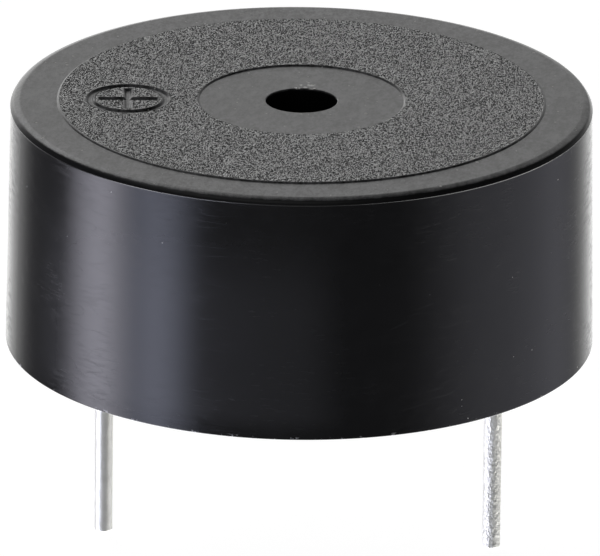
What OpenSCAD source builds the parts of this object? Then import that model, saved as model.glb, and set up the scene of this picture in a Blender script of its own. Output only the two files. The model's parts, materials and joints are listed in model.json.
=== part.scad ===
// Self-drive piezo buzzer: a round moulded cup with a sound hole, potted from below, on two wire pins.
// The origin is on the axis of the cup, in the plane of its base rim. +Z points out of the top.
// The pins lie on the X axis, the positive one at -X.

/* [Housing] */
// Outside diameter of the cup at its base rim
case_d = 24; // [23.6:0.1:30]
// Height from the base rim to the smooth part of the top
case_h = 10.2; // [9.8:0.1:14]
// Thickness of the side wall
wall_t = 1.0; // [0.7:0.05:1.2]
// Thickness of the top
top_t = 1.0; // [0.7:0.05:1.4]
// Draft of the side wall, in degrees
draft = 1.0; // [0.5:0.1:1.5]
// Width of the rounded top edge, seen from above
edge_w = 0.38; // [0.25:0.01:0.6]
// Height of the rounded top edge
edge_h = 0.2; // [0.15:0.01:0.35]
// Diameter of the sound hole
hole_d = 2.9; // [2:0.1:5]

/* [Grained band] */
// Inside diameter of the raised, grained band on the top
band_in_d = 8.3; // [6:0.1:9]
// Outside diameter of the band
band_out_d = 19.9; // [18:0.1:21]
// How far the band stands above the smooth top
band_rise = 0.06; // [0.04:0.01:0.2]

/* [Polarity mark] */
// Direction of the mark from the axis, in degrees from +X
mark_angle = 186; // [170:1:190]
// Outside diameter of the engraved circle
mark_d = 3.35; // [2.6:0.05:4.2]
// Length of each stroke of the plus sign
mark_stroke = 2.35; // [1:0.05:2.4]
// Width of the engraved grooves
mark_w = 0.25; // [0.15:0.05:0.35]
// Depth of the engraved grooves
mark_depth = 0.06; // [0.04:0.01:0.2]

/* [Inside of the housing] */
// Height of the ring that carries the diaphragm, from the underside of the top
seat_h = 2.4; // [2:0.1:2.8]
// Middle diameter of that ring, on the node circle of the diaphragm
seat_d = 12.6; // [9:0.1:14]
// Width of the flat tip of the ring
seat_tip = 0.5; // [0.4:0.05:0.8]
// How far the root of the ring stands out past its tip, on each side
seat_flare = 0.15; // [0.05:0.05:0.3]
// Number of ribs that centre the diaphragm and stop the board
rib_count = 4; // [3:1:6]
// Width of each rib
rib_w = 0.9; // [0.6:0.1:1.4]

/* [Diaphragm] */
// Diameter of the brass plate
plate_d = 20; // [18:0.1:20.4]
// Thickness of the brass plate
plate_t = 0.2; // [0.1:0.05:0.3]
// Gap between the plate's edge and the ribs
plate_gap = 0.15; // [0.1:0.05:0.2]
// Diameter of the ceramic disc
ceramic_d = 14; // [13.4:0.1:15]
// Thickness of the ceramic disc
ceramic_t = 0.2; // [0.1:0.05:0.3]
// Bare margin of ceramic outside the silver
silver_margin = 0.5; // [0.3:0.05:0.6]
// Thickness of the fired silver
silver_t = 0.02; // [0.01:0.01:0.04]
// Width of the feedback tongue
tongue_w = 3.0; // [2.6:0.1:3.4]
// Length of the feedback tongue, from the edge of the silver inwards
tongue_l = 4.4; // [3.8:0.1:5]
// Bare gap round the feedback tongue
tongue_gap = 0.5; // [0.3:0.05:0.7]
// Direction of the feedback tongue, in degrees
tongue_angle = 300; // [290:1:310]
// Leg of the silicone bead in the corner of the ring and the plate
bead_leg = 0.6; // [0.3:0.05:0.9]

/* [Circuit board] */
// Height of the underside of the board above the base rim
board_z = 2.3; // [2:0.1:2.5]
// Thickness of the board
board_t = 1.0; // [0.6:0.1:1.1]
// Gap between the board's edge and the wall
board_gap = 0.15; // [0.1:0.05:0.3]
// Thickness of the copper
copper_t = 0.035; // [0.02:0.005:0.07]
// Width of the copper tracks
track_w = 0.5; // [0.3:0.05:0.6]
// Clearance of the pins in their board holes, on the radius
pin_gap = 0.08; // [0.05:0.01:0.15]

/* [Pins] */
// Diameter of each pin over its tin
pin_d = 0.75; // [0.6:0.05:0.9]
// Distance between the pins
pin_pitch = 16; // [15:0.1:17]
// How far the pins reach below the base rim
pin_len = 8.9; // [3:0.1:15]
// How far the pins stand through the board
pin_stub = 0.6; // [0.4:0.05:0.9]
// Radius of the rounded pin ends
pin_end_r = 0.1; // [0.05:0.01:0.15]
// Thickness of the tin on the free length of each pin
tin_t = 0.01; // [0.005:0.005:0.03]

/* [Chip parts] */
// Pitch of the grid that the chip parts and tracks are laid out on
grid = 0.5; // [0.48:0.01:0.52]
// Length of a chip resistor
chip_l = 2.0; // [1.6:0.1:2.2]
// Width of a chip resistor
chip_w = 1.25; // [0.8:0.05:1.4]
// Height of a chip resistor
chip_h = 0.5; // [0.35:0.05:0.7]
// Length of the tinned cap at each end of a resistor
cap_l = 0.4; // [0.25:0.05:0.5]
// Length of the transistor's moulded body
tr_l = 2.9; // [2.7:0.05:3.1]
// Width of the transistor's moulded body
tr_w = 1.3; // [1.2:0.05:1.5]
// Height of the transistor, board side to top
tr_h = 1.0; // [0.85:0.05:1.1]
// Distance between neighbouring transistor legs
tr_pitch = 0.95; // [0.9:0.01:1]
// Thickness of the transistor's legs
leg_t = 0.12; // [0.08:0.01:0.15]
// Width of the transistor's legs
leg_w = 0.4; // [0.3:0.05:0.5]

/* [Leads] */
// Diameter over the insulation of each lead
lead_d = 0.6; // [0.45:0.05:0.7]
// Diameter of the bare conductor
wire_d = 0.24; // [0.16:0.02:0.32]
// Bare wire between a solder joint and the insulation
strip_l = 0.15; // [0.05:0.05:0.3]
// Straight length of each lead on the disc
lead_disc = 1.3; // [1.1:0.1:1.5]
// Straight length of each lead on the board
lead_board = 2.6; // [2.2:0.1:2.8]
// Radius of each solder joint on a lead
joint_r = 0.75; // [0.6:0.05:0.8]

/* [Potting] */
// Depth of the potting's flat surface above the base rim
pot_z = 0.6; // [0.4:0.05:1]
// How far the potting creeps out along the wall and the pins
creep = 0.35; // [0.15:0.05:0.35]
// Width over which it creeps
creep_w = 0.8; // [0.4:0.05:1]

/* [Hidden] */
$fn = 96;
eps = 0.3;                    // overlap of pieces that are fused within one solid
base_r = case_d / 2;
shrink = tan(draft);          // loss of radius for each unit of height
ceiling_z = case_h - top_t;
seat_z = ceiling_z - seat_h;  // the plate is held against the ring here
plate_z = seat_z - plate_t;
ceramic_z = plate_z - ceramic_t;
silver_z = ceramic_z - silver_t;
silver_r = ceramic_d / 2 - silver_margin;
board_top = board_z + board_t;
copper_top = board_top + copper_t;
board_r = bore_r(board_top) - board_gap;
pin_x = pin_pitch / 2;
pin_top = board_top + pin_stub;
core_r = pin_d / 2 - tin_t;   // the bare wire inside the tin
pin_hole_r = core_r + pin_gap;
lip_z = pot_z - creep;        // the potting's edge at the wall and the pins, where the tin ends
band_mid_r = (band_in_d + band_out_d) / 4;
rib_r = plate_d / 2 + plate_gap;
rib_turn = 360 / rib_count / 2;
arc_steps = 12;
over = 1;                     // cutters reach this far past what they cut
cover = 0.1;                  // solder over a wire, and copper round a joint
low_z = copper_top + lead_d / 2;   // the leads lie at this height on the board
pin_pad_r = pin_d * 1.6;
chip_pad_l = chip_w * 0.8;    // each chip pad reaches half of this past the chip's end
chip_solder_l = chip_w * 0.35;
leg_pad = leg_w * [1.6, 2.2];
leg_y = tr_w / 2 + grid;      // middles of the transistor's feet, from its own middle
foot_l = leg_w * 0.5;         // each foot goes this far past that
side_lean = leg_t * 2 / 3;    // the transistor's sides lean in by this much, above and below its middle
drop = 2 * grid;              // the emitter's track turns this far below its pad

// Chip parts on the board: [x, y, turn]
collector_res = [-9 * grid, 9 * grid, 0];
base_res = [-12 * grid, -5 * grid, 90];
feedback_res = [-4 * grid, -7 * grid, 0];
resistors = [collector_res, base_res, feedback_res];
transistor_at = grid * [-6, 2];
emitter_at = transistor_at + [tr_pitch, -leg_y];
base_at = transistor_at + [-tr_pitch, -leg_y];
collector_at = transistor_at + [0, leg_y];

// Each lead: [joint on the disc x, y, direction, level of the disc there]
tongue_r = silver_r - tongue_l / 2;
ground_r = (plate_d + ceramic_d) / 4;
ground_turn = 235;
drive_lead = [0, 9 * grid, 0, silver_z];
feedback_lead = [tongue_r * cos(tongue_angle), tongue_r * sin(tongue_angle), tongue_angle + 90, silver_z];
ground_lead = [ground_r * cos(ground_turn), ground_r * sin(ground_turn), ground_turn + 90, plate_z];
leads = [drive_lead, feedback_lead, ground_lead];

// Radius of the cup's bore at a height z
function bore_r(z) = base_r - wall_t - z * shrink;

// Points of an arc about [x, y], from one angle to another
function arc(x, y, r, from, to) = [
    for (i = [0 : arc_steps]) [x + r * cos(from + (to - from) * i / arc_steps),
                               y + r * sin(from + (to - from) * i / arc_steps)]
];

// Point at x along a chip part's own length and y across it
function along(part, x, y = 0) = [
    part[0] + x * cos(part[2]) - y * sin(part[2]), part[1] + x * sin(part[2]) + y * cos(part[2])
];

// Place on the board where a lead is soldered
function board_joint(lead) = [
    lead[0] + (lead_disc - lead_board) * cos(lead[2]), lead[1] + (lead_disc - lead_board) * sin(lead[2])
];

// ---- Housing ----
// The top edge is an arc that leaves the top smoothly and meets the wall at a shallow corner
module cup_wall() {
    edge_out = base_r - (case_h - edge_h) * shrink;
    edge_r = (edge_w * edge_w + edge_h * edge_h) / (2 * edge_h);
    rotate_extrude() polygon(concat(
        [[0, ceiling_z], [bore_r(ceiling_z), ceiling_z], [base_r - wall_t, 0], [base_r, 0]],
        arc(edge_out - edge_w, case_h - edge_r, edge_r, asin((edge_r - edge_h) / edge_r), 90),
        [[0, case_h]]
    ));
}

module grained_band() {
    translate([0, 0, case_h - top_t / 2]) difference() {
        cylinder(r = band_out_d / 2, h = top_t / 2 + band_rise);
        translate([0, 0, -over]) cylinder(r = band_in_d / 2, h = top_t + 2 * over);
    }
}

module polarity_mark() {
    rotate(mark_angle) translate([band_mid_r, 0, case_h + band_rise - mark_depth]) {
        difference() {
            cylinder(r = mark_d / 2, h = over);
            translate([0, 0, -over]) cylinder(r = mark_d / 2 - mark_w, h = 3 * over);
        }
        translate([-mark_stroke / 2, -mark_w / 2, 0]) cube([mark_stroke, mark_w, over]);
        translate([-mark_w / 2, -mark_stroke / 2, 0]) cube([mark_w, mark_stroke, over]);
    }
}

module seat_ring() {
    in_r = seat_d / 2 - seat_tip / 2;
    out_r = seat_d / 2 + seat_tip / 2;
    top_z = ceiling_z + eps;
    rotate_extrude() polygon([
        [in_r, seat_z], [out_r, seat_z], [out_r + seat_flare, top_z], [in_r - seat_flare, top_z]
    ]);
}

module centring_ribs() {
    for (i = [0 : rib_count - 1])
        rotate(rib_turn + i * 360 / rib_count)
            translate([rib_r, -rib_w / 2, board_top])
                cube([bore_r(0) + eps - rib_r, rib_w, ceiling_z + eps - board_top]);
}

module housing() {
    color([0.13, 0.13, 0.14]) difference() {
        union() {
            cup_wall();
            grained_band();
            seat_ring();
            centring_ribs();
        }
        translate([0, 0, ceiling_z - over]) cylinder(r = hole_d / 2, h = top_t + 2 * over);
        polarity_mark();
    }
}

// ---- Diaphragm ----
module disc(r, z, t) {
    translate([0, 0, z]) cylinder(r = r, h = t);
}

module diaphragm_plate() {
    color([0.85, 0.68, 0.35]) disc(plate_d / 2, plate_z, plate_t);
}

module piezo_ceramic() {
    color([0.86, 0.82, 0.7]) disc(ceramic_d / 2, ceramic_z, ceramic_t);
}

// Outline of the feedback tongue, with a round inner end, grown by a margin
module tongue(grow) {
    end_x = silver_r - tongue_l + tongue_w / 2;
    rotate(tongue_angle) {
        translate([end_x, 0]) circle(r = tongue_w / 2 + grow);
        translate([end_x, -tongue_w / 2 - grow]) square([ceramic_d, tongue_w + 2 * grow]);
    }
}

module main_electrode() {
    color([0.8, 0.8, 0.78]) translate([0, 0, silver_z]) linear_extrude(silver_t) difference() {
        circle(r = silver_r);
        tongue(tongue_gap);
    }
}

module feedback_electrode() {
    color([0.8, 0.8, 0.78]) translate([0, 0, silver_z]) linear_extrude(silver_t) intersection() {
        circle(r = silver_r);
        tongue(0);
    }
}

// Silicone in the two corners between the ring's sloping sides and the plate
module diaphragm_adhesive() {
    slope = seat_flare / (seat_h + eps);
    in_r = seat_d / 2 - seat_tip / 2;
    out_r = seat_d / 2 + seat_tip / 2;
    color([0.9, 0.9, 0.88]) rotate_extrude() {
        polygon([[out_r, seat_z], [out_r + bead_leg, seat_z], [out_r + slope * bead_leg, seat_z + bead_leg]]);
        polygon([[in_r, seat_z], [in_r - slope * bead_leg, seat_z + bead_leg], [in_r - bead_leg, seat_z]]);
    }
}

// ---- Circuit board ----
module pin_places() {
    for (side = [-1, 1]) translate([side * pin_x, 0, 0]) children();
}

module circuit_board() {
    color([0.25, 0.42, 0.22]) difference() {
        disc(board_r, board_z, board_t);
        pin_places() translate([0, 0, board_z - over]) cylinder(r = pin_hole_r, h = board_t + 2 * over);
    }
}

// A straight track through a list of points, with round corners
module track(points) {
    for (i = [0 : len(points) - 1]) translate(points[i]) circle(d = track_w);
    for (i = [0 : len(points) - 2]) {
        step = points[i + 1] - points[i];
        translate(points[i]) rotate(atan2(step[1], step[0]))
            translate([0, -track_w / 2]) square([norm(step), track_w]);
    }
}

// Pads under the two ends of a chip resistor
module chip_pads(part) {
    translate([part[0], part[1]]) rotate(part[2]) for (side = [-1, 1])
        translate([side * chip_l / 2, 0]) square([chip_pad_l, chip_w], center = true);
}

module copper_tracks() {
    color([0.78, 0.5, 0.3]) translate([0, 0, board_top]) linear_extrude(copper_t) difference() {
        union() {
            for (part = resistors) chip_pads(part);
            for (lead = leads) translate(board_joint(lead)) circle(r = joint_r + cover);
            for (side = [-1, 1]) translate([side * pin_x, 0]) circle(r = pin_pad_r);
            for (at = [emitter_at, base_at, collector_at])
                translate(at) square(leg_pad, center = true);
            // Supply: positive pin to the two bias resistors
            track([[-pin_x, 0], grid * [-15, 10], along(collector_res, -chip_l / 2)]);
            track([[-pin_x, 0], along(base_res, chip_l / 2)]);
            // Collector, its resistor and the drive lead
            track([collector_at, along(collector_res, chip_l / 2 + leg_w), board_joint(drive_lead)]);
            // Base, its two resistors
            track([base_at, [base_at[0], feedback_res[1]], along(base_res, -chip_l / 2)]);
            track([[base_at[0], feedback_res[1]], along(feedback_res, -chip_l / 2)]);
            track([along(feedback_res, chip_l / 2), board_joint(feedback_lead)]);
            // Ground: emitter, negative pin and the ground lead
            track([emitter_at, emitter_at - [0, drop], [8 * grid, emitter_at[1] - drop], [pin_x, 0]]);
            track([board_joint(ground_lead), grid * [-8, -16], grid * [7, -16], [pin_x, 0]]);
        }
        for (side = [-1, 1]) translate([side * pin_x, 0]) circle(r = pin_hole_r);
    }
}

// ---- Pins ----
module pin() {
    tin_r = pin_d / 2;
    e = pin_end_r;
    rotate_extrude() polygon(concat(
        [[0, -pin_len]],
        arc(tin_r - e, -pin_len + e, e, -90, 0),
        [[tin_r, lip_z], [core_r, lip_z]],
        arc(core_r - e, pin_top - e, e, 0, 90),
        [[0, pin_top]]
    ));
}

module positive_pin() {
    color([0.8, 0.8, 0.82]) translate([-pin_x, 0, 0]) pin();
}

module negative_pin() {
    color([0.8, 0.8, 0.82]) translate([pin_x, 0, 0]) pin();
}

// Hollow-sided cone of solder round each pin, on the copper
module pin_solder() {
    foot = pin_d * 1.4;
    tip = core_r + cover;
    h = (pin_stub - copper_t - pin_end_r) * 0.9;
    color([0.75, 0.75, 0.77]) pin_places() rotate_extrude() polygon([
        [core_r, copper_top], [foot, copper_top], [(foot + 2 * tip) / 3, copper_top + h * 0.4],
        [tip, copper_top + h], [core_r, copper_top + h]
    ]);
}

// ---- Transistor ----
module transistor_body() {
    stand = leg_t;
    color([0.1, 0.1, 0.1])
        translate([transistor_at[0], transistor_at[1], copper_top + stand])
            rotate([90, 0, 90]) translate([0, 0, -tr_l / 2]) linear_extrude(tr_l) polygon([
                [-tr_w / 2 + side_lean, 0], [tr_w / 2 - side_lean, 0], [tr_w / 2, (tr_h - stand) / 2],
                [tr_w / 2 - side_lean, tr_h - stand], [-tr_w / 2 + side_lean, tr_h - stand],
                [-tr_w / 2, (tr_h - stand) / 2]
            ]);
}

// One bent leg that leaves the body at half height and ends flat on its pad
module leg() {
    mid = leg_t + (tr_h - leg_t) / 2;
    start = tr_w / 2;
    bend = start + foot_l;
    inset = side_lean * leg_t * 2 / (tr_h - leg_t);
    translate([-leg_w / 2, 0, 0]) rotate([90, 0, 90]) linear_extrude(leg_w) polygon([
        [start, mid], [bend, mid], [bend, leg_t], [leg_y + foot_l, leg_t], [leg_y + foot_l, 0],
        [bend - leg_t, 0], [bend - leg_t, mid - leg_t], [start - inset, mid - leg_t]
    ]);
}

module transistor_legs() {
    color([0.78, 0.78, 0.8]) translate([transistor_at[0], transistor_at[1], copper_top]) {
        leg();
        for (side = [-1, 1]) translate([side * tr_pitch, 0, 0]) rotate(180) leg();
    }
}

// ---- Chip resistors ----
module on_board(part) {
    translate([part[0], part[1], copper_top]) rotate(part[2]) children();
}

module chip_body(part) {
    on_board(part) translate([-chip_l / 2 + cap_l, -chip_w / 2, 0]) cube([chip_l - 2 * cap_l, chip_w, chip_h]);
}

module collector_resistor() {
    color([0.12, 0.12, 0.13]) chip_body(collector_res);
}

module base_resistor() {
    color([0.12, 0.12, 0.13]) chip_body(base_res);
}

module feedback_resistor() {
    color([0.12, 0.12, 0.13]) chip_body(feedback_res);
}

module resistor_caps() {
    color([0.8, 0.8, 0.8]) for (part = resistors) on_board(part) for (side = [0, 1])
        mirror([side, 0, 0]) translate([chip_l / 2 - cap_l, -chip_w / 2, 0]) cube([cap_l, chip_w, chip_h]);
}

// Wedge of solder against a face, l long, w wide and h high
module wedge(l, w, h) {
    translate([0, w / 2, 0]) rotate([90, 0, 0]) linear_extrude(w) polygon([[0, 0], [l, 0], [0, h]]);
}

module component_solder() {
    color([0.75, 0.75, 0.77]) {
        for (part = resistors) on_board(part) for (side = [0, 1])
            mirror([side, 0, 0]) translate([chip_l / 2, 0, 0]) wedge(chip_solder_l, chip_w * 0.9, chip_h * 0.7);
        for (at = [emitter_at, base_at, collector_at]) {
            out = at[1] > transistor_at[1] ? 90 : -90;
            translate([at[0], at[1], copper_top]) rotate(out) translate([foot_l, 0, 0])
                wedge(foot_l, leg_w, leg_t);
        }
    }
}

// ---- Leads ----
// Sweeps a 2D ring or disc along a lead: bare length, straight, half turn, straight, bare length
module lead_path(lead, bare) {
    high_z = lead[3] - lead_d / 2;
    bend_r = (high_z - low_z) / 2;
    translate([lead[0], lead[1], 0]) rotate(lead[2]) {
        translate([bare, 0, high_z]) rotate([90, 0, 90]) linear_extrude(lead_disc - bare) children();
        translate([lead_disc, 0, low_z + bend_r]) rotate([90, 0, 0])
            rotate([0, 0, -90]) rotate_extrude(angle = 180) translate([bend_r, 0]) children();
        translate([lead_disc - lead_board + bare, 0, low_z]) rotate([90, 0, 90])
            linear_extrude(lead_board - bare) children();
    }
}

module insulation(lead, tint) {
    color(tint) lead_path(lead, joint_r + strip_l) difference() {
        circle(d = lead_d);
        circle(d = wire_d);
    }
}

module conductor(lead) {
    color([0.8, 0.8, 0.82]) lead_path(lead, 0) circle(d = wire_d);
}

module drive_lead_insulation() {
    insulation(drive_lead, [0.85, 0.8, 0.75]);
}

module drive_lead_wire() {
    conductor(drive_lead);
}

module feedback_lead_insulation() {
    insulation(feedback_lead, [0.2, 0.3, 0.7]);
}

module feedback_lead_wire() {
    conductor(feedback_lead);
}

module ground_lead_insulation() {
    insulation(ground_lead, [0.15, 0.15, 0.15]);
}

module ground_lead_wire() {
    conductor(ground_lead);
}

// A low dome of solder on a face, with the lead's wire running out of it along +X
module joint() {
    h = lead_d / 2 + wire_d / 2 + cover;
    ball_r = (joint_r * joint_r + h * h) / (2 * h);
    difference() {
        translate([0, 0, h - ball_r]) sphere(r = ball_r);
        translate([-2 * ball_r, -2 * ball_r, -4 * ball_r]) cube(4 * ball_r);
        translate([0, 0, lead_d / 2]) rotate([0, 90, 0]) cylinder(d = wire_d, h = 2 * ball_r);
    }
}

module disc_solder() {
    color([0.75, 0.75, 0.77]) for (lead = leads)
        translate([lead[0], lead[1], lead[3]]) rotate(lead[2]) mirror([0, 0, 1]) joint();
}

module board_solder() {
    color([0.75, 0.75, 0.77]) for (lead = leads) {
        at = board_joint(lead);
        translate([at[0], at[1], copper_top]) rotate(lead[2]) joint();
    }
}

// ---- Potting ----
// Fills the cup from below up to the board's top edge, and creeps out along the wall and the pins.
module potting() {
    color([0.07, 0.07, 0.08]) difference() {
        union() {
            rotate_extrude() polygon(concat(
                [[0, board_z], [0, pot_z], [bore_r(lip_z) - creep_w, pot_z]],
                [for (i = [1 : arc_steps]) let (s = i / arc_steps)
                    [bore_r(lip_z) - creep_w * (1 - s), pot_z - creep * pow(s, 3)]],
                [[bore_r(board_top), board_top], [board_r, board_top], [board_r, board_z]]
            ));
            pin_places() rotate_extrude() polygon(concat(
                [[0, pot_z + eps], [0, lip_z]],
                [for (i = [0 : arc_steps]) let (s = 1 - i / arc_steps)
                    [pin_d / 2 + creep_w * (1 - s), pot_z - creep * pow(s, 3)]],
                [[pin_d / 2 + creep_w, pot_z + eps]]
            ));
        }
        pin_places() translate([0, 0, -over]) cylinder(r = core_r, h = board_top + 2 * over);
    }
}

housing();
diaphragm_plate();
piezo_ceramic();
main_electrode();
feedback_electrode();
diaphragm_adhesive();
circuit_board();
copper_tracks();
positive_pin();
negative_pin();
pin_solder();
transistor_body();
transistor_legs();
collector_resistor();
base_resistor();
feedback_resistor();
resistor_caps();
component_solder();
drive_lead_insulation();
drive_lead_wire();
feedback_lead_insulation();
feedback_lead_wire();
ground_lead_insulation();
ground_lead_wire();
disc_solder();
board_solder();
potting();
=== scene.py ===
# A self-drive piezo buzzer: moulded cup, two tinned wires, epoxy potting.
import bmesh
import bpy
import json
import numpy as np
from mathutils import Matrix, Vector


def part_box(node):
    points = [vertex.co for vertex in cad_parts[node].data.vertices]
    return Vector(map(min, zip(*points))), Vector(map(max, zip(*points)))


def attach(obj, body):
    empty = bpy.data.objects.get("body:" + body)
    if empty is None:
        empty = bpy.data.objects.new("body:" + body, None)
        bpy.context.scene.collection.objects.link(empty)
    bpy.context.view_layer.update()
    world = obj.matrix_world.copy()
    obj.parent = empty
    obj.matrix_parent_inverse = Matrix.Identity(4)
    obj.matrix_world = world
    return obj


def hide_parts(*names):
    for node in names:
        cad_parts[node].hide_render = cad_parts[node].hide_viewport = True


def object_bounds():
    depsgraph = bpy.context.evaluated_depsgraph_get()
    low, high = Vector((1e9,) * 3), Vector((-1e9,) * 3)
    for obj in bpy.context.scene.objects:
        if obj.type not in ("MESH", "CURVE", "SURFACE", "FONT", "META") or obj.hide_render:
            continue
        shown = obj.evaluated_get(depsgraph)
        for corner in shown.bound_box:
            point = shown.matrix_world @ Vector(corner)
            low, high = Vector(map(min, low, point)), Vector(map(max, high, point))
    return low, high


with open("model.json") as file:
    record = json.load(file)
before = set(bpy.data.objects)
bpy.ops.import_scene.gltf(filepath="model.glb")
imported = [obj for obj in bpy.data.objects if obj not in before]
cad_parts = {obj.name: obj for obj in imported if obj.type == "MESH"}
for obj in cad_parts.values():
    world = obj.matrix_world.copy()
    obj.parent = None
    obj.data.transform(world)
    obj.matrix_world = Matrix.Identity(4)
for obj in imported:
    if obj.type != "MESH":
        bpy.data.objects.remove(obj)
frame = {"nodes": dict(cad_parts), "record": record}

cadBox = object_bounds()
mm = 0.001
nodes = frame["nodes"]
print("frame loaded:", len(nodes), "nodes")


cameraSettings = {
    "azimuth": 5.05,          # degrees, 0 looks along +Y
    "elevation": 20.34,       # degrees
    "roll": 0.605,            # degrees, the camera leans clockwise by this much
    "distance": 600.5,        # mm, from the middle of the smooth top
    "right": 0.064,           # mm, the aim point's offset in the picture plane
    "up": 7.22,
    "lens": 886.2,            # mm
    "aimZ": 10.2,             # mm
    "clip": (0.05, 5),        # metres
}


# Looks at the middle of the smooth top from azimuth and elevation, then leans and shifts the picture.
def makeCamera(s):
    az, el, roll = np.radians([s["azimuth"], s["elevation"], s["roll"]])
    forward = np.array([-np.sin(az) * np.cos(el), np.cos(az) * np.cos(el), -np.sin(el)])
    right = np.array([np.cos(az), np.sin(az), 0.0])
    up = np.cross(right, forward)
    rightTilted = np.cos(roll) * right + np.sin(roll) * up
    upTilted = -np.sin(roll) * right + np.cos(roll) * up
    place = np.array([0, 0, s["aimZ"]]) - forward * s["distance"]
    place = (place - rightTilted * s["right"] - upTilted * s["up"]) * mm
    data = bpy.data.cameras.new("camera")
    data.lens = s["lens"]
    data.clip_start = s["clip"][0]
    data.clip_end = s["clip"][1]
    cam = bpy.data.objects.new("camera", data)
    bpy.context.scene.collection.objects.link(cam)
    turn = Matrix([rightTilted, upTilted, -forward]).transposed().to_4x4()
    cam.matrix_world = Matrix.Translation(place) @ turn
    bpy.context.scene.camera = cam


makeCamera(cameraSettings)
print("camera made")


def newMaterial(name):
    mat = bpy.data.materials.new(name)
    mat.use_nodes = True
    tree = mat.node_tree
    tree.nodes.clear()
    out = tree.nodes.new("ShaderNodeOutputMaterial")
    bsdf = tree.nodes.new("ShaderNodeBsdfPrincipled")
    tree.links.new(bsdf.outputs[0], out.inputs["Surface"])
    return mat, tree, bsdf


# Adds a node. An input is a number, a colour or another node's socket, and i0 is the first input.
def add(tree, kind, settings=None, **inputs):
    node = tree.nodes.new("ShaderNode" + kind)
    for key, value in (settings or {}).items():
        setattr(node, key, value)
    for key, value in inputs.items():
        name = int(key[1:]) if key[0] == "i" and key[1:].isdigit() else key.replace("_", " ")
        socket = node.inputs[name]
        if isinstance(value, bpy.types.NodeSocket):
            tree.links.new(value, socket)
        else:
            socket.default_value = value
    return node


def math(tree, operation, *values):
    inputs = {"i" + str(i): value for i, value in enumerate(values)}
    return add(tree, "Math", {"operation": operation}, **inputs).outputs[0]


def times(tree, product, *factors):
    for factor in factors:
        product = math(tree, "MULTIPLY", product, factor)
    return product


def opposite(tree, mask):
    return math(tree, "SUBTRACT", 1.0, mask)


def vectorMath(tree, operation, a, b, output="Vector"):
    return add(tree, "VectorMath", {"operation": operation}, i0=a, i1=b).outputs[output]


# Object coordinates in millimetres, times scale: a low number draws a pattern out.
def objectCoords(tree, scale=(1, 1, 1)):
    coords = add(tree, "TexCoord").outputs["Object"]
    return add(tree, "Mapping", Vector=coords, Scale=tuple(v / mm for v in scale)).outputs[0]


def noise(tree, coords, scale, detail=3.0, roughness=0.5):
    return add(tree, "TexNoise", Vector=coords, Scale=scale, Detail=detail, Roughness=roughness).outputs[0]


# Rises smoothly from outLow to outHigh while the value goes from low to high
def ramp(tree, value, low, high, outLow=0.0, outHigh=1.0):
    ends = {"From_Min": low, "From_Max": high, "To_Min": outLow, "To_Max": outHigh}
    return add(tree, "MapRange", {"interpolation_type": "SMOOTHSTEP"}, Value=value, **ends).outputs[0]


def fall(tree, value, low, high):
    return ramp(tree, value, low, high, 1.0, 0.0)


def cellDistance(tree, coords, scale):
    return add(tree, "TexVoronoi", {"feature": "F1"}, Vector=coords, Scale=scale).outputs["Distance"]


def mixColour(tree, factor, a, b):
    node = add(tree, "Mix", {"data_type": "RGBA"})
    for socket, value in ((node.inputs[0], factor), (node.inputs[6], a), (node.inputs[7], b)):
        if isinstance(value, bpy.types.NodeSocket):
            tree.links.new(value, socket)
        else:
            socket.default_value = (*value, 1) if isinstance(value, tuple) else value
    return node.outputs[2]


# distance is the relief in mm for a height of 1
def bump(tree, height, distance, strength=1.0, normal=None):
    node = add(tree, "Bump", Height=height, Distance=distance * mm, Strength=strength)
    if normal is not None:
        tree.links.new(normal, node.inputs["Normal"])
    return node.outputs[0]


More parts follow.
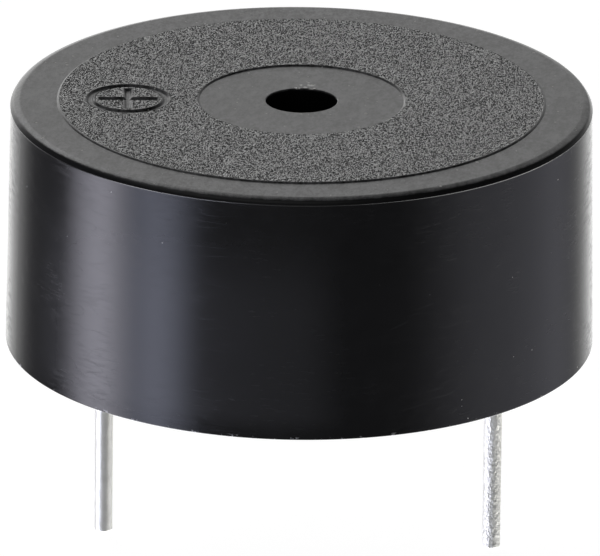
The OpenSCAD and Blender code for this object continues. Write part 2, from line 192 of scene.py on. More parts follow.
# Black moulded plastic of the housing. Lengths are in mm; a scale is a noise's lumps in 1 mm, a range is
# where a mask starts and ends, and a relief is what bump takes.
plasticSettings = {
    "colour": (0.005, 0.005, 0.0053),
    "mottledColour": (0.007, 0.007, 0.00742),
    "mottleScale": 1.6,
    "mottleRange": (0.3, 0.7),
    "mottleRoughness": 0.04,
    "wallRoughness": 0.16,
    "topRoughness": 0.27,
    "grainRoughness": 0.2,
    "ior": 1.4,
    # Spark-eroded grain of the band, with painted glints on its crests and painted shade in its pits
    "craterSize": 0.05,       # from one crater to the next
    "craterStretch": (1, 0.42, 1),
    "craterRelief": 0.1,
    "lumpScale": 0.7,         # lumps to a crater
    "lumpHeight": 1.3,        # against the craters' height
    "paintedPitShade": (0.002, 0.002, 0.002),
    "paintedCrestGlint": (0.6, 0.6, 0.6),
    "paintedGlintCrestRange": (0.97, 1.32),
    "pitRoughness": 0.45,
    # Scuffs round the wall, in patches
    "scuffStretch": (1.4, 1.4, 9),
    "scuffRange": (0.4, 0.66),
    "scuffRelief": 0.001,
    "scuffRoughness": 0.1,
    "patchScale": 0.3,
    "patchRange": (0.4, 0.6),
    "patchLeast": 0.25,
    # Hairlines
    "hairStretch": (0.3, 0.7, 1.6),
    "hairValue": 0.53,
    "hairWidth": 0.004,       # in the noise's value
    "hairRelief": 0.0012,
    # Ripple and film of the smooth top
    "topStretch": (1, 0.5, 1),
    "rippleScale": 5.0,
    "rippleRelief": 0.008,
    "film": (0.115, 0.115, 0.12),
    "filmScale": 2.2,
    "filmRange": (0.35, 0.65),
    "filmHeights": (10.09, 10.13),
    # Dust: cells in 1 mm, share of the cells that hold a speck, size of the specks
    "dust": (0.6, 0.59, 0.57),
    "dustRoughness": 0.5,
    "specks": (1.3, 0.1, 0.024),
    "motes": (3.1, 0.06, 0.015),
    "topSpecks": (0.8, 0.2, 0.055),
    "topMotes": (2.3, 0.1, 0.028),
    "topDustZ": 10.17,
    "crumbs": (4.2, 0.6, 0.07),
    "crumbColour": (0.9, 0.9, 0.88),
    "crumbPlace": (0.0, 1.75, 10.2),
    "crumbReach": 0.5,
    # Painted sheen on the wall's lower part: a paler colour that stands in for reflected light
    "paintedSheen": (0.023, 0.023, 0.024),
    "paintedSheenSide": (-0.375, -0.927, 0.0),  # the direction in which it is thickest
    "paintedSheenReach": (9.5, 10.7),
    "paintedSheenLeast": 0.12,
    "paintedSheenRise": (0.0, 1.2),
    "paintedSheenFall": (5.0, 9.5),
    # Nicks along the base rim
    "nickColour": (0.3, 0.3, 0.3),
    "nickScale": 3.5,
    "nickRange": (0.6, 0.64),
    "nickHeights": (0.05, 0.16),
    "nickRadii": (11.93, 11.97),
}


# Spark-eroded grain: shallow craters with sharp rims, broken up by a noise.
def sparkGrain(tree, s):
    coords = objectCoords(tree, s["craterStretch"])
    size = 1 / s["craterSize"]
    lumps = noise(tree, coords, size * s["lumpScale"], 2.0, 0.6)
    return math(tree, "MULTIPLY_ADD", lumps, s["lumpHeight"], cellDistance(tree, coords, size))


# Short scuffs that run round the wall, thick in some patches and thin in others
def wallScuffs(tree, wall, s):
    streaks = noise(tree, objectCoords(tree, s["scuffStretch"]), 1.0, 4.0, 0.6)
    patches = noise(tree, objectCoords(tree), s["patchScale"], 2.0)
    patches = ramp(tree, patches, *s["patchRange"], s["patchLeast"])
    return times(tree, ramp(tree, streaks, *s["scuffRange"]), patches, wall)


# Hairlines: thin arcs where a stretched noise crosses one value.
def hairlines(tree, s):
    hair = noise(tree, objectCoords(tree, s["hairStretch"]), 1.0, 1.0)
    crossing = math(tree, "ABSOLUTE", math(tree, "SUBTRACT", hair, s["hairValue"]))
    return fall(tree, crossing, 0.0, s["hairWidth"])


# Dust: a speck sits in a few of the cells, each of its own size. Flat cells serve the top.
def dustMask(tree, coords, cells, share, size, dimensions="3D"):
    settings = {"feature": "F1", "voronoi_dimensions": dimensions}
    cell = add(tree, "TexVoronoi", settings, Vector=coords, Scale=cells)
    chance = add(tree, "SeparateColor", Color=cell.outputs["Color"])
    radius = math(tree, "MULTIPLY_ADD", chance.outputs[1], size * cells, size * cells * 0.5)
    near = math(tree, "LESS_THAN", cell.outputs["Distance"], radius)
    return times(tree, near, math(tree, "LESS_THAN", chance.outputs[0], share))


# Painted sheen: the wall's colour is made paler between two heights, most towards one side, standing in
# for reflected light
def wallHaze(tree, coords, z, wall, s):
    side = vectorMath(tree, "DOT_PRODUCT", coords, s["paintedSheenSide"], "Value")
    towards = ramp(tree, side, *s["paintedSheenReach"], s["paintedSheenLeast"])
    return times(tree, ramp(tree, z, *s["paintedSheenRise"]), fall(tree, z, *s["paintedSheenFall"]), towards, wall)


# Pale nicks on the outer corner of the base rim
def rimNicks(tree, coords, z, wall, s):
    flat = vectorMath(tree, "MULTIPLY", coords, (1, 1, 0))
    outwards = vectorMath(tree, "DISTANCE", flat, (0, 0, 0), "Value")
    corner = times(tree, fall(tree, z, *s["nickHeights"]), ramp(tree, outwards, *s["nickRadii"]))
    lumps = noise(tree, coords, s["nickScale"], 3.0, 0.7)
    return times(tree, ramp(tree, lumps, *s["nickRange"]), corner, wall)


def housingPlastic(s):
    mat, tree, bsdf = newMaterial("blackMouldedPlastic")
    coords = objectCoords(tree)
    topCoords = objectCoords(tree, s["topStretch"])
    z = add(tree, "SeparateXYZ", Vector=coords).outputs[2]
    grain = add(tree, "Attribute", {"attribute_name": "grain"}).outputs["Fac"]
    wall = add(tree, "Attribute", {"attribute_name": "wall"}).outputs["Fac"]
    notWall = opposite(tree, wall)
    craters = sparkGrain(tree, s)
    # The grain's crests: they carry a painted glint, and the pits between them painted shade and more
    # roughness
    paintedGlintCrest = ramp(tree, craters, *s["paintedGlintCrestRange"])
    scuffs = wallScuffs(tree, wall, s)
    mottle = noise(tree, coords, s["mottleScale"], 4.0, 0.6)

    ripple = noise(tree, topCoords, s["rippleScale"], 3.0, 0.6)
    normal = bump(tree, times(tree, craters, grain), s["craterRelief"])
    normal = bump(tree, scuffs, s["scuffRelief"], normal=normal)
    hairs = times(tree, hairlines(tree, s), opposite(tree, grain))
    normal = bump(tree, hairs, s["hairRelief"], normal=normal)
    normal = bump(tree, times(tree, ripple, notWall), s["rippleRelief"], normal=normal)
    tree.links.new(normal, bsdf.inputs["Normal"])

    base = mixColour(tree, ramp(tree, mottle, *s["mottleRange"]), s["colour"], s["mottledColour"])
    # The film on the smooth top ends where the edge turns steep
    film = noise(tree, topCoords, s["filmScale"], 5.0, 0.8)
    film = times(tree, film, ramp(tree, z, *s["filmHeights"]))
    base = mixColour(tree, ramp(tree, film, *s["filmRange"]), base, s["film"])
    # Painted highlight and shade on the grain: its crests are coloured pale as glints and its pits near
    # black as shade
    base = mixColour(tree, grain, base, mixColour(tree, paintedGlintCrest, s["paintedPitShade"], s["paintedCrestGlint"]))
    # Dust lies everywhere, more of it on the top, with crumbs of flash at the far side of the sound hole
    onTop = times(tree, notWall, math(tree, "GREATER_THAN", z, s["topDustZ"]))
    away = vectorMath(tree, "DISTANCE", coords, s["crumbPlace"], "Value")
    crumbs = times(tree, dustMask(tree, coords, *s["crumbs"], "2D"),
                   math(tree, "LESS_THAN", away, s["crumbReach"]), onTop)
    dust = crumbs
    for key in ("topSpecks", "topMotes"):
        dust = math(tree, "MAXIMUM", dust, times(tree, dustMask(tree, coords, *s[key], "2D"), onTop))
    for key in ("specks", "motes"):
        dust = math(tree, "MAXIMUM", dust, dustMask(tree, coords, *s[key]))
    base = mixColour(tree, dust, base, s["dust"])
    base = mixColour(tree, crumbs, base, s["crumbColour"])
    # Painted reflection: the lower wall is made paler, most towards its front left
    base = mixColour(tree, wallHaze(tree, coords, z, wall, s), base, s["paintedSheen"])
    base = mixColour(tree, rimNicks(tree, coords, z, wall, s), base, s["nickColour"])
    tree.links.new(base, bsdf.inputs["Base Color"])

    rough = s["topRoughness"]
    for mask, more in (
        (wall, s["wallRoughness"] - s["topRoughness"]),
        (grain, s["grainRoughness"] - s["topRoughness"]),
        (times(tree, opposite(tree, paintedGlintCrest), grain), s["pitRoughness"]),
        (scuffs, s["scuffRoughness"]),
        (mottle, s["mottleRoughness"]),
        (dust, s["dustRoughness"]),
    ):
        rough = math(tree, "MULTIPLY_ADD", mask, more, rough)
    tree.links.new(rough, bsdf.inputs["Roughness"])
    bsdf.inputs["IOR"].default_value = s["ior"]
    return mat


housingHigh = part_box("housing")[1]
# Lengths in mm, angles in degrees
housingSettings = {
    "baseR": housingHigh.x / mm,
    "topZ": 10.2,
    "bandTopZ": housingHigh.z / mm,
    "wall": 1.0,
    "top": 1.0,
    "draft": 1.0,
    "edgeBends": [(0.26, 8, 21), (0.12, 39, 71)],  # width, and slopes from and to
    "bendSteps": 6,
    "witness": 0.014,         # a fine line left by the mould where the edge's rounding ends
    "witnessDrops": (0.012, 0.035),  # its crest and its lower end, under the edge
    "holeR": 1.45,
    "holeEdge": 0.05,
    "bandInR": 4.15,
    "bandOutR": 9.95,
    "bandLean": 0.07,         # the band's sides lean by this much
    "markAngle": 186.0,
    "markOuterR": 1.675,
    "markStroke": 2.35,
    "markWidth": 0.25,
    "markDepth": 0.1,
    "markLean": 0.055,        # half the width of a groove's sloping side
    "grainFade": 0.04,        # the grain sets in over this distance from a groove
    "fineMargin": 0.15,       # the fine mesh reaches this far past the mark
    "fineGap": 0.026,
    "fineSpread": 1.05,
    "fineTurns": 146,
    "coarseTurns": 168,
    "seatHeight": 2.4,
    "seatR": 6.3,
    "seatHalf": (0.4, 0.25),  # half the ring's width at the ceiling and at the seat
    "ribLedgeZ": 3.3,
    "ribR": 10.15,
    "ribWidth": 0.9,
    "ribCount": 4,
    "softEdge": 0.04,         # the small radius on moulded corners
    "wallReach": 0.75,        # the outer wall lies less than this inside baseR
}


# Carries a point round a closed outline: each corner (r, z, radius, gap) becomes a short arc, and the
# straight after it is cut into steps of about gap, with a short step at each end to keep it flat.
# An arc's point is its centre plus the two end spokes, weighed by the sines of the angles left and done.
def roundedProfile(corners, tight=0.025, turnStep=8, leastSteps=4):
    points = np.array([c[:2] for c in corners], float)
    before = points - np.roll(points, 1, 0)
    after = np.roll(points, -1, 0) - points
    before = before / np.linalg.norm(before, axis=1)[:, None]
    after = after / np.linalg.norm(after, axis=1)[:, None]
    half = np.arccos(np.clip((before * after).sum(1), -1, 1)) / 2
    cut = np.array([c[2] for c in corners]) * np.tan(half)
    pieces = []
    for i, corner in enumerate(corners):
        radius, gap = corner[2:]
        start = points[i] - before[i] * cut[i]
        end = points[i] + after[i] * cut[i]
        if radius > 0:
            sweep = 2 * half[i]
            steps = max(leastSteps, int(np.degrees(sweep) / turnStep))
            t = np.linspace(0, 1, steps + 1)[:, None]
            middle = (start + end) / 2 - points[i]
            centre = points[i] + middle / np.linalg.norm(middle) * radius / np.cos(half[i])
            arc = np.sin((1 - t) * sweep) * (start - centre) + np.sin(t * sweep) * (end - centre)
            pieces.append(centre + arc / np.sin(sweep))
        else:
            pieces.append(points[i][None])
        stop = points[(i + 1) % len(corners)] - after[i] * cut[(i + 1) % len(corners)]
        last = pieces[-1][-1]
        length = np.linalg.norm(stop - last)
        count = max(1, int(round(length / gap)))
        t = np.arange(1, count) / count
        if length > 6 * tight:  # long enough for the short steps
            t = np.concatenate([[tight / length], t, [1 - tight / length]])
            t = np.unique(np.clip(t, tight / length, 1 - tight / length))
        pieces.append(last + (stop - last) * t[:, None])
    return np.vstack(pieces)


# 0 below low, 1 above high, and between them three times the square less twice the cube
def smoothStep(x, low, high):
    t = np.clip((x - low) / (high - low), 0, 1)
    return t * t * (3 - 2 * t)


# Joins a rows x columns grid of points in mm with quads. It is closed from the last column to the
# first, and from the last row to the first where asked.
def meshFromGrid(name, xyz, closeRows, attributes, sharpAngle=35):
    rows, cols = xyz.shape[:2]
    index = np.arange(rows * cols).reshape(rows, cols)
    if closeRows:
        index = np.vstack([index, index[:1]])
    index = np.hstack([index, index[:, :1]])
    quads = np.stack([index[:-1, :-1], index[:-1, 1:], index[1:, 1:], index[1:, :-1]], -1).reshape(-1, 4)
    mesh = bpy.data.meshes.new(name)
    mesh.vertices.add(rows * cols)
    mesh.vertices.foreach_set("co", (xyz * mm).astype(np.float32).ravel())
    mesh.loops.add(quads.size)
    mesh.loops.foreach_set("vertex_index", quads.ravel().astype(np.int32))
    mesh.polygons.add(len(quads))
    mesh.polygons.foreach_set("loop_start", np.arange(0, quads.size, 4, dtype=np.int32))
    mesh.polygons.foreach_set("use_smooth", np.ones(len(quads), bool))
    for key, values in attributes.items():
        layer = mesh.attributes.new(key, "FLOAT", "POINT")
        layer.data.foreach_set("value", values.astype(np.float32).ravel())
    mesh.update()
    mesh.validate()
    mesh.set_sharp_from_angle(angle=np.radians(sharpAngle))
    obj = bpy.data.objects.new(name, mesh)
    bpy.context.scene.collection.objects.link(obj)
    return obj


# The edge: a gentle arc over most of its width, then a tight one that ends in a corner on the wall.
# Each arc turns from one slope to another; its radius is its width over the sines' difference.
def edgeCorners(s, outerR):
    bends = []
    for width, low, high in s["edgeBends"]:
        low, high = np.radians([low, high])
        bends.append((width / (np.sin(high) - np.sin(low)), low, high))
    bottomZ = s["topZ"] - sum(radius * (np.cos(low) - np.cos(high)) for radius, low, high in bends)
    corners = [(outerR(bottomZ) - sum(bend[0] for bend in s["edgeBends"]), s["topZ"], 0.0, 1)]
    for radius, low, high in bends:
        r, z = corners[-1][:2]
        for slope in np.linspace(low, high, s["bendSteps"])[1:]:
            across = radius * (np.sin(slope) - np.sin(low))
            down = radius * (np.cos(low) - np.cos(slope))
            corners.append((r + across, z - down, 0.0, 1))
    return corners


# The cup's closed outline: over the top from the sound hole, down the outside, up the bore past the
# ledge and the seat ring, and back to the hole. Each corner holds r, z, its radius and the step after it.
def cupCorners(s):
    soft = s["softEdge"]
    slope = np.tan(np.radians(s["draft"]))
    z0, z1 = s["topZ"], s["bandTopZ"]
    ceiling = z0 - s["top"]
    boreR = s["baseR"] - s["wall"]
    ledgeR = boreR - s["ribLedgeZ"] * slope
    seatZ = ceiling - s["seatHeight"]
    seatR = s["seatR"]
    rootHalf, seatHalf = s["seatHalf"]
    markR = (s["bandInR"] + s["bandOutR"]) / 2
    fineHalf = s["markOuterR"] + s["fineMargin"]
    outerR = lambda z: s["baseR"] - z * slope
    edge = edgeCorners(s, outerR)
    edgeZ = edge[-1][1]
    crestDrop, endDrop = s["witnessDrops"]
    tiny = 1e-6
    return [
        (s["holeR"], z0, s["holeEdge"], 0.5),
        (s["bandInR"], z0, 0.0, 0.1),
        (s["bandInR"] + s["bandLean"], z1, soft, 0.3),
        (markR - fineHalf, z1, 0.0, s["fineGap"]),
        (markR + fineHalf, z1, 0.0, 0.3),
        (s["bandOutR"] - s["bandLean"], z1, 3 * soft, 0.1),
        (s["bandOutR"], z0, 0.0, 0.2),
        *edge,
        (outerR(edgeZ) + s["witness"], edgeZ - crestDrop, 0.0, 0.02),
        (outerR(edgeZ - endDrop), edgeZ - endDrop, 0.0, 0.4),
        (s["baseR"], 0, soft, 0.5),
        (boreR, 0, soft * 1.5, 0.8),
        (ledgeR, s["ribLedgeZ"], 0.0, 9),
        (ledgeR - tiny, s["ribLedgeZ"], 0.0, 2),
        (boreR - ceiling * slope, ceiling, 0.0, 1),
        (seatR + rootHalf, ceiling, 0.0, 1),
        (seatR + seatHalf, seatZ, 0.0, 1),
        (seatR - seatHalf, seatZ, 0.0, 1),
        (seatR - rootHalf, ceiling, 0.0, 1),
        (s["holeR"], ceiling, soft, 0.4),
    ], edgeZ


# How far a point is outside the mark's lines: the least of the distances to the ring and to the two
# strokes. u runs outwards from the mark's middle and v round the axis, both in mm.
def markDistance(r, theta, s):
    turned = theta - np.radians(s["markAngle"])
    u = r * np.cos(turned) - (s["bandInR"] + s["bandOutR"]) / 2
    v = r * np.sin(turned)
    wide = s["markWidth"] / 2
    ring = np.abs(np.hypot(u, v) - (s["markOuterR"] - wide)) - wide
    strokeU = np.maximum(np.abs(u) - s["markStroke"] / 2, np.abs(v) - wide)
    strokeV = np.maximum(np.abs(v) - s["markStroke"] / 2, np.abs(u) - wide)
    return np.minimum(ring, np.minimum(strokeU, strokeV))


# The cup's outline turned round the axis. The height of the band is lowered by the mark's grooves,
# and the bore's radius is brought in where a rib stands.
def makeHousing(s):
    corners, edgeZ = cupCorners(s)
    profile = roundedProfile(corners)
    near = 1e-6
    markR = (s["bandInR"] + s["bandOutR"]) / 2
    fineTurn = np.degrees((s["markOuterR"] + s["fineMargin"]) / markR) * s["fineSpread"]
    fine = s["markAngle"] + np.linspace(-fineTurn, fineTurn, s["fineTurns"])
    coarse = np.linspace(fine[-1], fine[0] + 360, s["coarseTurns"])[1:-1]
    turn = np.radians(np.concatenate([fine, coarse]))
    r = np.repeat(profile[:, :1], len(turn), 1)
    z = np.repeat(profile[:, 1:], len(turn), 1)
    theta = np.repeat(turn[None], len(profile), 0)
    # Ribs: the bore above the ledge is brought in to ribR within each rib's width.
    onLedge = np.abs(profile[:, 1] - s["ribLedgeZ"]) < near
    ledge = int(np.argmax(onLedge & (profile[:, 0] < s["baseR"] - s["wallReach"])))
    inside = np.zeros(len(profile), bool)
    inside[ledge + 1:] = profile[ledge + 1:, 0] > s["ribR"]
    spacing = 2 * np.pi / s["ribCount"]
    offset = np.abs(theta % spacing - spacing / 2)
    rib = (offset * r < s["ribWidth"] / 2) & inside[:, None]
    r = np.where(rib, s["ribR"], r)
    distance = markDistance(r, theta, s)
    groove = np.clip(0.5 - distance / (2 * s["markLean"]), 0, 1)
    onTop = z > s["bandTopZ"] - near
    z = np.where(onTop, z - s["markDepth"] * groove, z)
    xyz = np.stack([r * np.cos(theta), r * np.sin(theta), z], -1)
    grain = np.where(onTop, smoothStep(distance, s["markLean"], s["markLean"] + s["grainFade"]), 0.0)
    outerWall = (profile[:, 0] > s["baseR"] - s["wallReach"]) & (profile[:, 1] < edgeZ)
    wall = np.repeat(outerWall[:, None].astype(float), len(turn), 1)
    piece = meshFromGrid("housingShell", xyz, True, {"grain": grain, "wall": wall})
    piece.data.materials.append(housingPlastic(plasticSettings))
    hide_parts("housing")
    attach(piece, "root")
    print("housing:", len(piece.data.polygons), "faces")


makeHousing(housingSettings)


# Lengths in mm. The dull pin's tin has finer crystals that stand out more.
pinSettings = {
    "radius": 0.375,
    "endR": 0.1,
    "flatR": 0.12,            # the ends are flat inside this radius
    "centreR": 0.0005,        # of the small round that a single face closes
    "rowGap": 0.1,
    "sides": 48,
    "waves": 14,
    "seed": 4,
    "tinTopZ": -0.2,          # the unevenness stays under the potting
    "darkTin": (0.87, 0.865, 0.79),
    "lightTin": (0.96, 0.957, 0.885),
    "metallic": 0.35,
    "stretch": (1, 1, 0.5),
    "cloudScale": 2.2,
    "cloudRoughness": 0.2,
    "bright": {"wobble": 0.006, "roughness": 0.36, "crystals": 4.0, "relief": 0.012},
    "frosted": {"wobble": 0.009, "roughness": 0.38, "crystals": 11.0, "relief": 0.026},
}


# Tin dipped over wire: grey metal with a fine frost of crystals, more of it on a duller wire.
def tin(kind, s):
    look = s[kind]
    mat, tree, bsdf = newMaterial(kind + "Tin")
    coords = objectCoords(tree, s["stretch"])
    frost = cellDistance(tree, coords, look["crystals"])
    clouds = noise(tree, objectCoords(tree), s["cloudScale"], 4.0, 0.6)
    fine = noise(tree, coords, look["crystals"] * 1.7, 3.0, 0.6)
    relief = bump(tree, math(tree, "ADD", frost, fine), look["relief"])
    tree.links.new(relief, bsdf.inputs["Normal"])
    colour = mixColour(tree, ramp(tree, clouds, 0.3, 0.7), s["darkTin"], s["lightTin"])
    tree.links.new(colour, bsdf.inputs["Base Color"])
    least = look["roughness"] - s["cloudRoughness"] / 2
    rough = math(tree, "MULTIPLY_ADD", clouds, s["cloudRoughness"], least)
    tree.links.new(rough, bsdf.inputs["Roughness"])
    bsdf.inputs["Metallic"].default_value = s["metallic"]
    return mat


# Closes the small round at each end of a turned piece, with its faces outwards.
def closeEnds(piece, rows, cols):
    bm = bmesh.new()
    bm.from_mesh(piece.data)
    bm.verts.ensure_lookup_table()
    bm.faces.new([bm.verts[i] for i in range(cols)][::-1])
    bm.faces.new([bm.verts[(rows - 1) * cols + i] for i in range(cols)])
    bmesh.ops.recalc_face_normals(bm, faces=bm.faces)
    bm.to_mesh(piece.data)
    bm.free()


# A straight wire: a circle carried down its axis, with both ends rounded, closed by a small flat.
# The radius is uneven by a sum of slow waves along and round it.
def makePin(name, node, kind, s):
    low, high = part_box(node)
    x = (low.x + high.x) / 2 / mm
    lowZ = low.z / mm
    highZ = high.z / mm
    radius = s["radius"]
    end = s["endR"]
    gap = s["rowGap"]
    bend = np.radians(np.linspace(0, 90, 7))
    tip = np.stack([radius - end + end * np.sin(bend), lowZ + end - end * np.cos(bend)], 1)
    top = np.stack([radius - end + end * np.cos(bend), highZ - end + end * np.sin(bend)], 1)
    rows = np.arange(lowZ + end + gap, highZ - end - gap / 2, gap)
    shank = np.stack([np.full(len(rows), radius), rows], 1)
    flat = np.array([[s["centreR"], lowZ], [s["flatR"], lowZ]])
    flatTop = np.array([[s["flatR"], highZ], [s["centreR"], highZ]])
    profile = np.vstack([flat, tip, shank, top, flatTop])
    turn = np.linspace(0, 2 * np.pi, s["sides"], endpoint=False)
    rng = np.random.default_rng(s["seed"])
    r = np.repeat(profile[:, :1], len(turn), 1)
    z = np.repeat(profile[:, 1:], len(turn), 1)
    theta = np.repeat(turn[None], len(profile), 0)
    uneven = np.zeros_like(r)
    for wave in range(s["waves"]):
        around = rng.integers(0, 4)
        along = rng.uniform(0.5, 7)
        phase = rng.uniform(0, 6.28)
        uneven += np.sin(around * theta + along * z + phase) / s["waves"]
    onShank = (profile[:, 1] > lowZ + end) & (profile[:, 1] < s["tinTopZ"])
    r = r - s[kind]["wobble"] * np.where(onShank[:, None], 1 + uneven, 0.0) * 0.5
    xyz = np.stack([x + r * np.cos(theta), r * np.sin(theta), z], -1)
    piece = meshFromGrid(name, xyz, False, {})
    closeEnds(piece, len(profile), len(turn))
    piece.data.materials.append(tin(kind, s))
    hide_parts(node)
    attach(piece, "root")


makePin("positivePinWire", "positive_pin", "bright", pinSettings)
makePin("negativePinWire", "negative_pin", "frosted", pinSettings)
print("pins made")


pottingSettings = {
    "dark": (0.006, 0.006, 0.007),
    "light": (0.012, 0.012, 0.013),
    "cloudScale": 0.5,
    "pitScale": 1.1,
    "pitRange": (0.03, 0.1),
    "waveScale": 1.4,
    "waveHeight": 0.5,        # against the pits' depth
    "relief": 0.03,           # mm
    "reliefStrength": 0.6,
    "roughness": 0.1,
    "cloudRoughness": 0.25,
    "ior": 1.55,
}


# Cast epoxy: nearly black, cloudy in colour and gloss, and slightly pitted.
def castEpoxy(s):
    mat, tree, bsdf = newMaterial("castEpoxy")
    coords = objectCoords(tree)
    clouds = noise(tree, coords, s["cloudScale"], 4.0, 0.55)
    pits = ramp(tree, cellDistance(tree, coords, s["pitScale"]), *s["pitRange"])
    waves = noise(tree, coords, s["waveScale"], 3.0)
    height = math(tree, "MULTIPLY_ADD", waves, s["waveHeight"], pits)
    tree.links.new(bump(tree, height, s["relief"], s["reliefStrength"]), bsdf.inputs["Normal"])
    colour = mixColour(tree, ramp(tree, clouds, 0.35, 0.65), s["dark"], s["light"])
    tree.links.new(colour, bsdf.inputs["Base Color"])
    rough = math(tree, "MULTIPLY_ADD", clouds, s["cloudRoughness"], s["roughness"])
    tree.links.new(rough, bsdf.inputs["Roughness"])
    bsdf.inputs["IOR"].default_value = s["ior"]
    return mat


# Gives a node of the frame a finish in place of its own.
def dress(node, finish):
    data = nodes[node].data
    data.materials.clear()
    data.materials.append(finish)


dress("potting", castEpoxy(pottingSettings))


# A quiet finish: two tints mixed by a noise, which also moves the roughness and a slight relief.
def innerFinish(name, low, high, roughness, metallic=0.0, scale=3.0, stretch=(1, 1, 1), relief=0.004):
    mat, tree, bsdf = newMaterial(name)
    coords = objectCoords(tree, stretch)
    clouds = noise(tree, coords, scale, 4.0, 0.6)
    tree.links.new(mixColour(tree, ramp(tree, clouds, 0.3, 0.7), low, high), bsdf.inputs["Base Color"])
    tree.links.new(math(tree, "MULTIPLY_ADD", clouds, 0.15, roughness), bsdf.inputs["Roughness"])
    tree.links.new(bump(tree, noise(tree, coords, scale * 4, 3.0), relief), bsdf.inputs["Normal"])
    bsdf.inputs["Metallic"].default_value = metallic
    return mat


brass = ((0.62, 0.42, 0.14), (0.78, 0.58, 0.25))
slotFinishes = {
    "brass_plate": innerFinish("rolledBrass", *brass, 0.25, 1.0, 2.0, (0.2, 3, 1)),
    "piezo_ceramic": innerFinish("firedCeramic", (0.6, 0.52, 0.36), (0.75, 0.68, 0.5), 0.6, scale=9.0),
    "fired_silver": innerFinish("firedSilver", (0.7, 0.7, 0.67), (0.85, 0.85, 0.83), 0.45, 1.0, 7.0),
    "silicone": innerFinish("whiteSilicone", (0.7, 0.7, 0.66), (0.8, 0.8, 0.77), 0.4),
    "board_laminate": innerFinish("boardLaminate", (0.03, 0.1, 0.03), (0.06, 0.16, 0.05), 0.4, scale=6.0),
    "copper": innerFinish("etchedCopper", (0.62, 0.27, 0.12), (0.8, 0.4, 0.22), 0.3, 1.0, 5.0),
    "tinned_wire": innerFinish("tinnedWire", (0.7, 0.7, 0.68), (0.85, 0.85, 0.84), 0.3, 1.0, 6.0),
    "solder": innerFinish("frozenSolder", (0.6,) * 3, (0.78,) * 3, 0.3, 1.0, 4.0),
    "moulded_epoxy": innerFinish("mouldedEpoxy", (0.012,) * 3, (0.025,) * 3, 0.55, scale=12.0),
    "tinned_leg": innerFinish("mattTin", (0.62, 0.62, 0.6), (0.75, 0.75, 0.74), 0.45, 1.0, 9.0),
    "chip_body": innerFinish("chipGlaze", (0.01, 0.01, 0.012), (0.02, 0.02, 0.022), 0.3, scale=6.0),
    "pale_insulation": innerFinish("paleInsulation", (0.6, 0.55, 0.48), (0.72, 0.67, 0.6), 0.35),
    "lead_wire": innerFinish("strandedWire", (0.66, 0.66, 0.65), (0.8, 0.8, 0.8), 0.35, 1.0, 8.0),
    "blue_insulation": innerFinish("blueInsulation", (0.01, 0.03, 0.25), (0.02, 0.05, 0.35), 0.35),
    "black_insulation": innerFinish("blackInsulation", (0.008,) * 3, (0.015,) * 3, 0.35),
}
for part in frame["record"]["subparts"]:
    finish = slotFinishes.get(part["material_slot"])
    if finish and part["node"] in nodes:
        dress(part["node"], finish)
print("inner pieces finished")


# Angles in degrees. A bearing is counted from the camera's side, positive to its right, and a height
# from the horizon. A window holds the two ends and then the width of the soft edge at each end.
allRound = (-400, 400, 10, 10)
lowSide = (-80, -6, 10, 10)
studioSettings = {
    # The sheet behind: it is brighter low down towards the left, and dimmer towards the right.
    "sheetTint": (1, 1, 0.99),
    "sheetStrength": 0.9,
    "sheetHeights": (0, 40, 12, 50),
    "sheetBearings": (134, 160),
    "lowHeights": (0, 17, 12, 10),
    "leftGain": 1.1,
    "leftReach": (-0.17, -0.04),  # sideways part of the direction
    "rightLoss": -0.55,
    "rightReach": (0.04, 0.2),
    "underSheet": 1.5,
    "underBearings": (128, 172),
    "underHeights": (-6, 6),
    # Soft panels: strength, tint, window of bearings, window of heights
    "panels": {
        "left": (5.6, (1.0, 0.985, 1.13), (-97, -74, 24, 18), lowSide),
        "leftFront": (1.85, (0.88, 0.94, 1.22), (-72, -44, 10, 14), lowSide),
        "leftEdge": (1.5, (0.92, 0.95, 1.18), (-64, -51, 10, 14), lowSide),
        "upperLeft": (1.8, (1.0, 1.0, 1.0), (-176, -151, 12, 14), (25, 48, 10, 14)),
        "frontGlow": (0.08, (1.0, 1.0, 1.0), (-60, 8, 20, 32), lowSide),
        "right": (0.62, (1.0, 1.0, 1.14), (58, 130, 40, 30), lowSide),
        "skyGlow": (0.42, (1.0, 1.0, 1.0), (-165, 20, 40, 80), (40, 72, 10, 40)),
        "underGlow": (0.8, (1.0, 1.0, 0.98), allRound, (-100, -55, 10, 16)),
        "leftLow": (8.0, (1.0, 1.0, 1.04), (-150, -88, 20, 14), (-82, -52, 10, 10)),
        "rightLow": (4.2, (1.0, 1.0, 0.97), (66, 170, 40, 20), (-80, -34, 10, 12)),
        "ambientLow": (0.07, (1.0, 1.0, 1.06), allRound, (-80, 10, 10, 10)),
    },
    "ambient": (0.05, 0.05, 0.05),
}


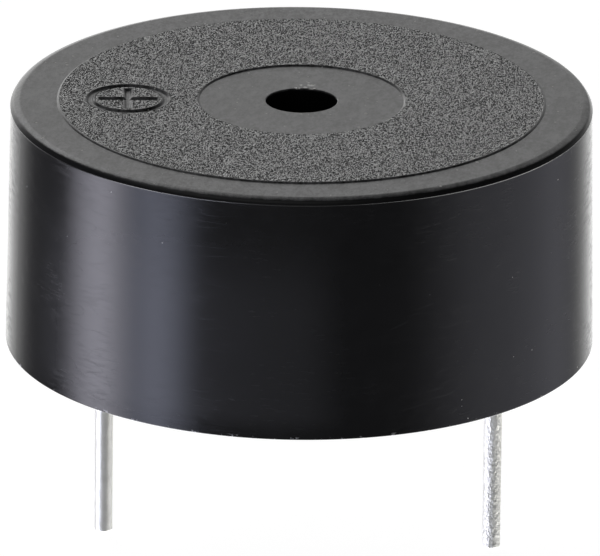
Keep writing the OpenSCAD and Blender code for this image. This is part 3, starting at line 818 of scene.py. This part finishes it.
# The world is a plain studio as seen from the middle: white behind, a tall soft panel at the left,
# a cooler one beside it, a dim one at the right, and dark towards the camera and overhead.
# The camera itself sees plain white.
def makeStudio(s):
    world = bpy.data.worlds.new("studio")
    bpy.context.scene.world = world
    world.use_nodes = True
    tree = world.node_tree
    tree.nodes.clear()
    out = tree.nodes.new("ShaderNodeOutputWorld")
    direction = add(tree, "TexCoord").outputs["Generated"]
    turned = add(tree, "VectorRotate", {"rotation_type": "Z_AXIS"}, Vector=direction,
                 Angle=-np.radians(cameraSettings["azimuth"])).outputs[0]
    sideways, away, upwards = add(tree, "SeparateXYZ", Vector=turned).outputs
    degrees = 180 / np.pi
    bearing = times(tree, math(tree, "ARCTAN2", sideways, times(tree, away, -1.0)), degrees)
    height = times(tree, math(tree, "ARCSINE", upwards), degrees)

    def window(value, low, high, softLow, softHigh):
        rising = ramp(tree, value, low - softLow / 2, low + softLow / 2)
        return times(tree, rising, fall(tree, value, high - softHigh / 2, high + softHigh / 2))

    def glow(tint, strength):
        return add(tree, "VectorMath", {"operation": "SCALE"}, i0=tint, Scale=strength).outputs[0]

    behind = math(tree, "ABSOLUTE", bearing)
    low = window(height, *s["lowHeights"])
    left = times(tree, low, fall(tree, sideways, *s["leftReach"]))
    right = times(tree, low, ramp(tree, sideways, *s["rightReach"]))
    sheet = times(tree, window(height, *s["sheetHeights"]), s["sheetStrength"])
    sheet = math(tree, "MULTIPLY_ADD", left, s["leftGain"], sheet)
    sheet = times(tree, sheet, math(tree, "MULTIPLY_ADD", right, s["rightLoss"], 1.0))
    above = times(tree, ramp(tree, behind, *s["sheetBearings"]), sheet)
    below = times(tree, ramp(tree, behind, *s["underBearings"]), fall(tree, height, *s["underHeights"]))
    total = glow(s["sheetTint"], math(tree, "MULTIPLY_ADD", below, s["underSheet"], above))
    for strength, tint, bearings, heights in s["panels"].values():
        mask = times(tree, window(bearing, *bearings), window(height, *heights))
        total = vectorMath(tree, "ADD", total, glow(tint, times(tree, mask, strength)))
    total = vectorMath(tree, "ADD", total, s["ambient"])
    lit = add(tree, "Background", Color=total).outputs[0]
    plain = add(tree, "Background", Color=(1, 1, 1, 1)).outputs[0]
    seen = add(tree, "LightPath").outputs["Is Camera Ray"]
    mixed = add(tree, "MixShader", Fac=seen, i1=lit, i2=plain)
    tree.links.new(mixed.outputs[0], out.inputs["Surface"])


floorSettings = {
    "z": cadBox[0].z,
    "half": 0.6,              # metres
    "glow": 0.96,
    "matt": (0.2, 0.2, 0.2, 1),
}


# A plain white floor at the wires' ends. It shows a faint soft shadow, and is clear from below.
def makeFloor(s):
    mesh = bpy.data.meshes.new("floor")
    corners = [(-1, -1), (1, -1), (1, 1), (-1, 1)]
    mesh.from_pydata([(x * s["half"], y * s["half"], s["z"]) for x, y in corners], [], [(0, 1, 2, 3)])
    floor = bpy.data.objects.new("floor", mesh)
    bpy.context.scene.collection.objects.link(floor)
    mat = bpy.data.materials.new("paleFloor")
    mat.use_nodes = True
    tree = mat.node_tree
    tree.nodes.clear()
    out = tree.nodes.new("ShaderNodeOutputMaterial")
    glow = add(tree, "Emission", Color=(1, 1, 1, 1), Strength=s["glow"]).outputs[0]
    matt = add(tree, "BsdfDiffuse", Color=s["matt"]).outputs[0]
    both = add(tree, "AddShader", i0=glow, i1=matt).outputs[0]
    clear = add(tree, "BsdfTransparent").outputs[0]
    under = add(tree, "NewGeometry").outputs["Backfacing"]
    mixed = add(tree, "MixShader", Fac=under, i1=both, i2=clear)
    tree.links.new(mixed.outputs[0], out.inputs["Surface"])
    mesh.materials.append(mat)
    floor.visible_diffuse = False
    floor.visible_glossy = False
    floor.visible_transmission = False
    floor.visible_shadow = False


makeStudio(studioSettings)
makeFloor(floorSettings)
bpy.context.scene.view_settings.view_transform = "Standard"
print("studio made")
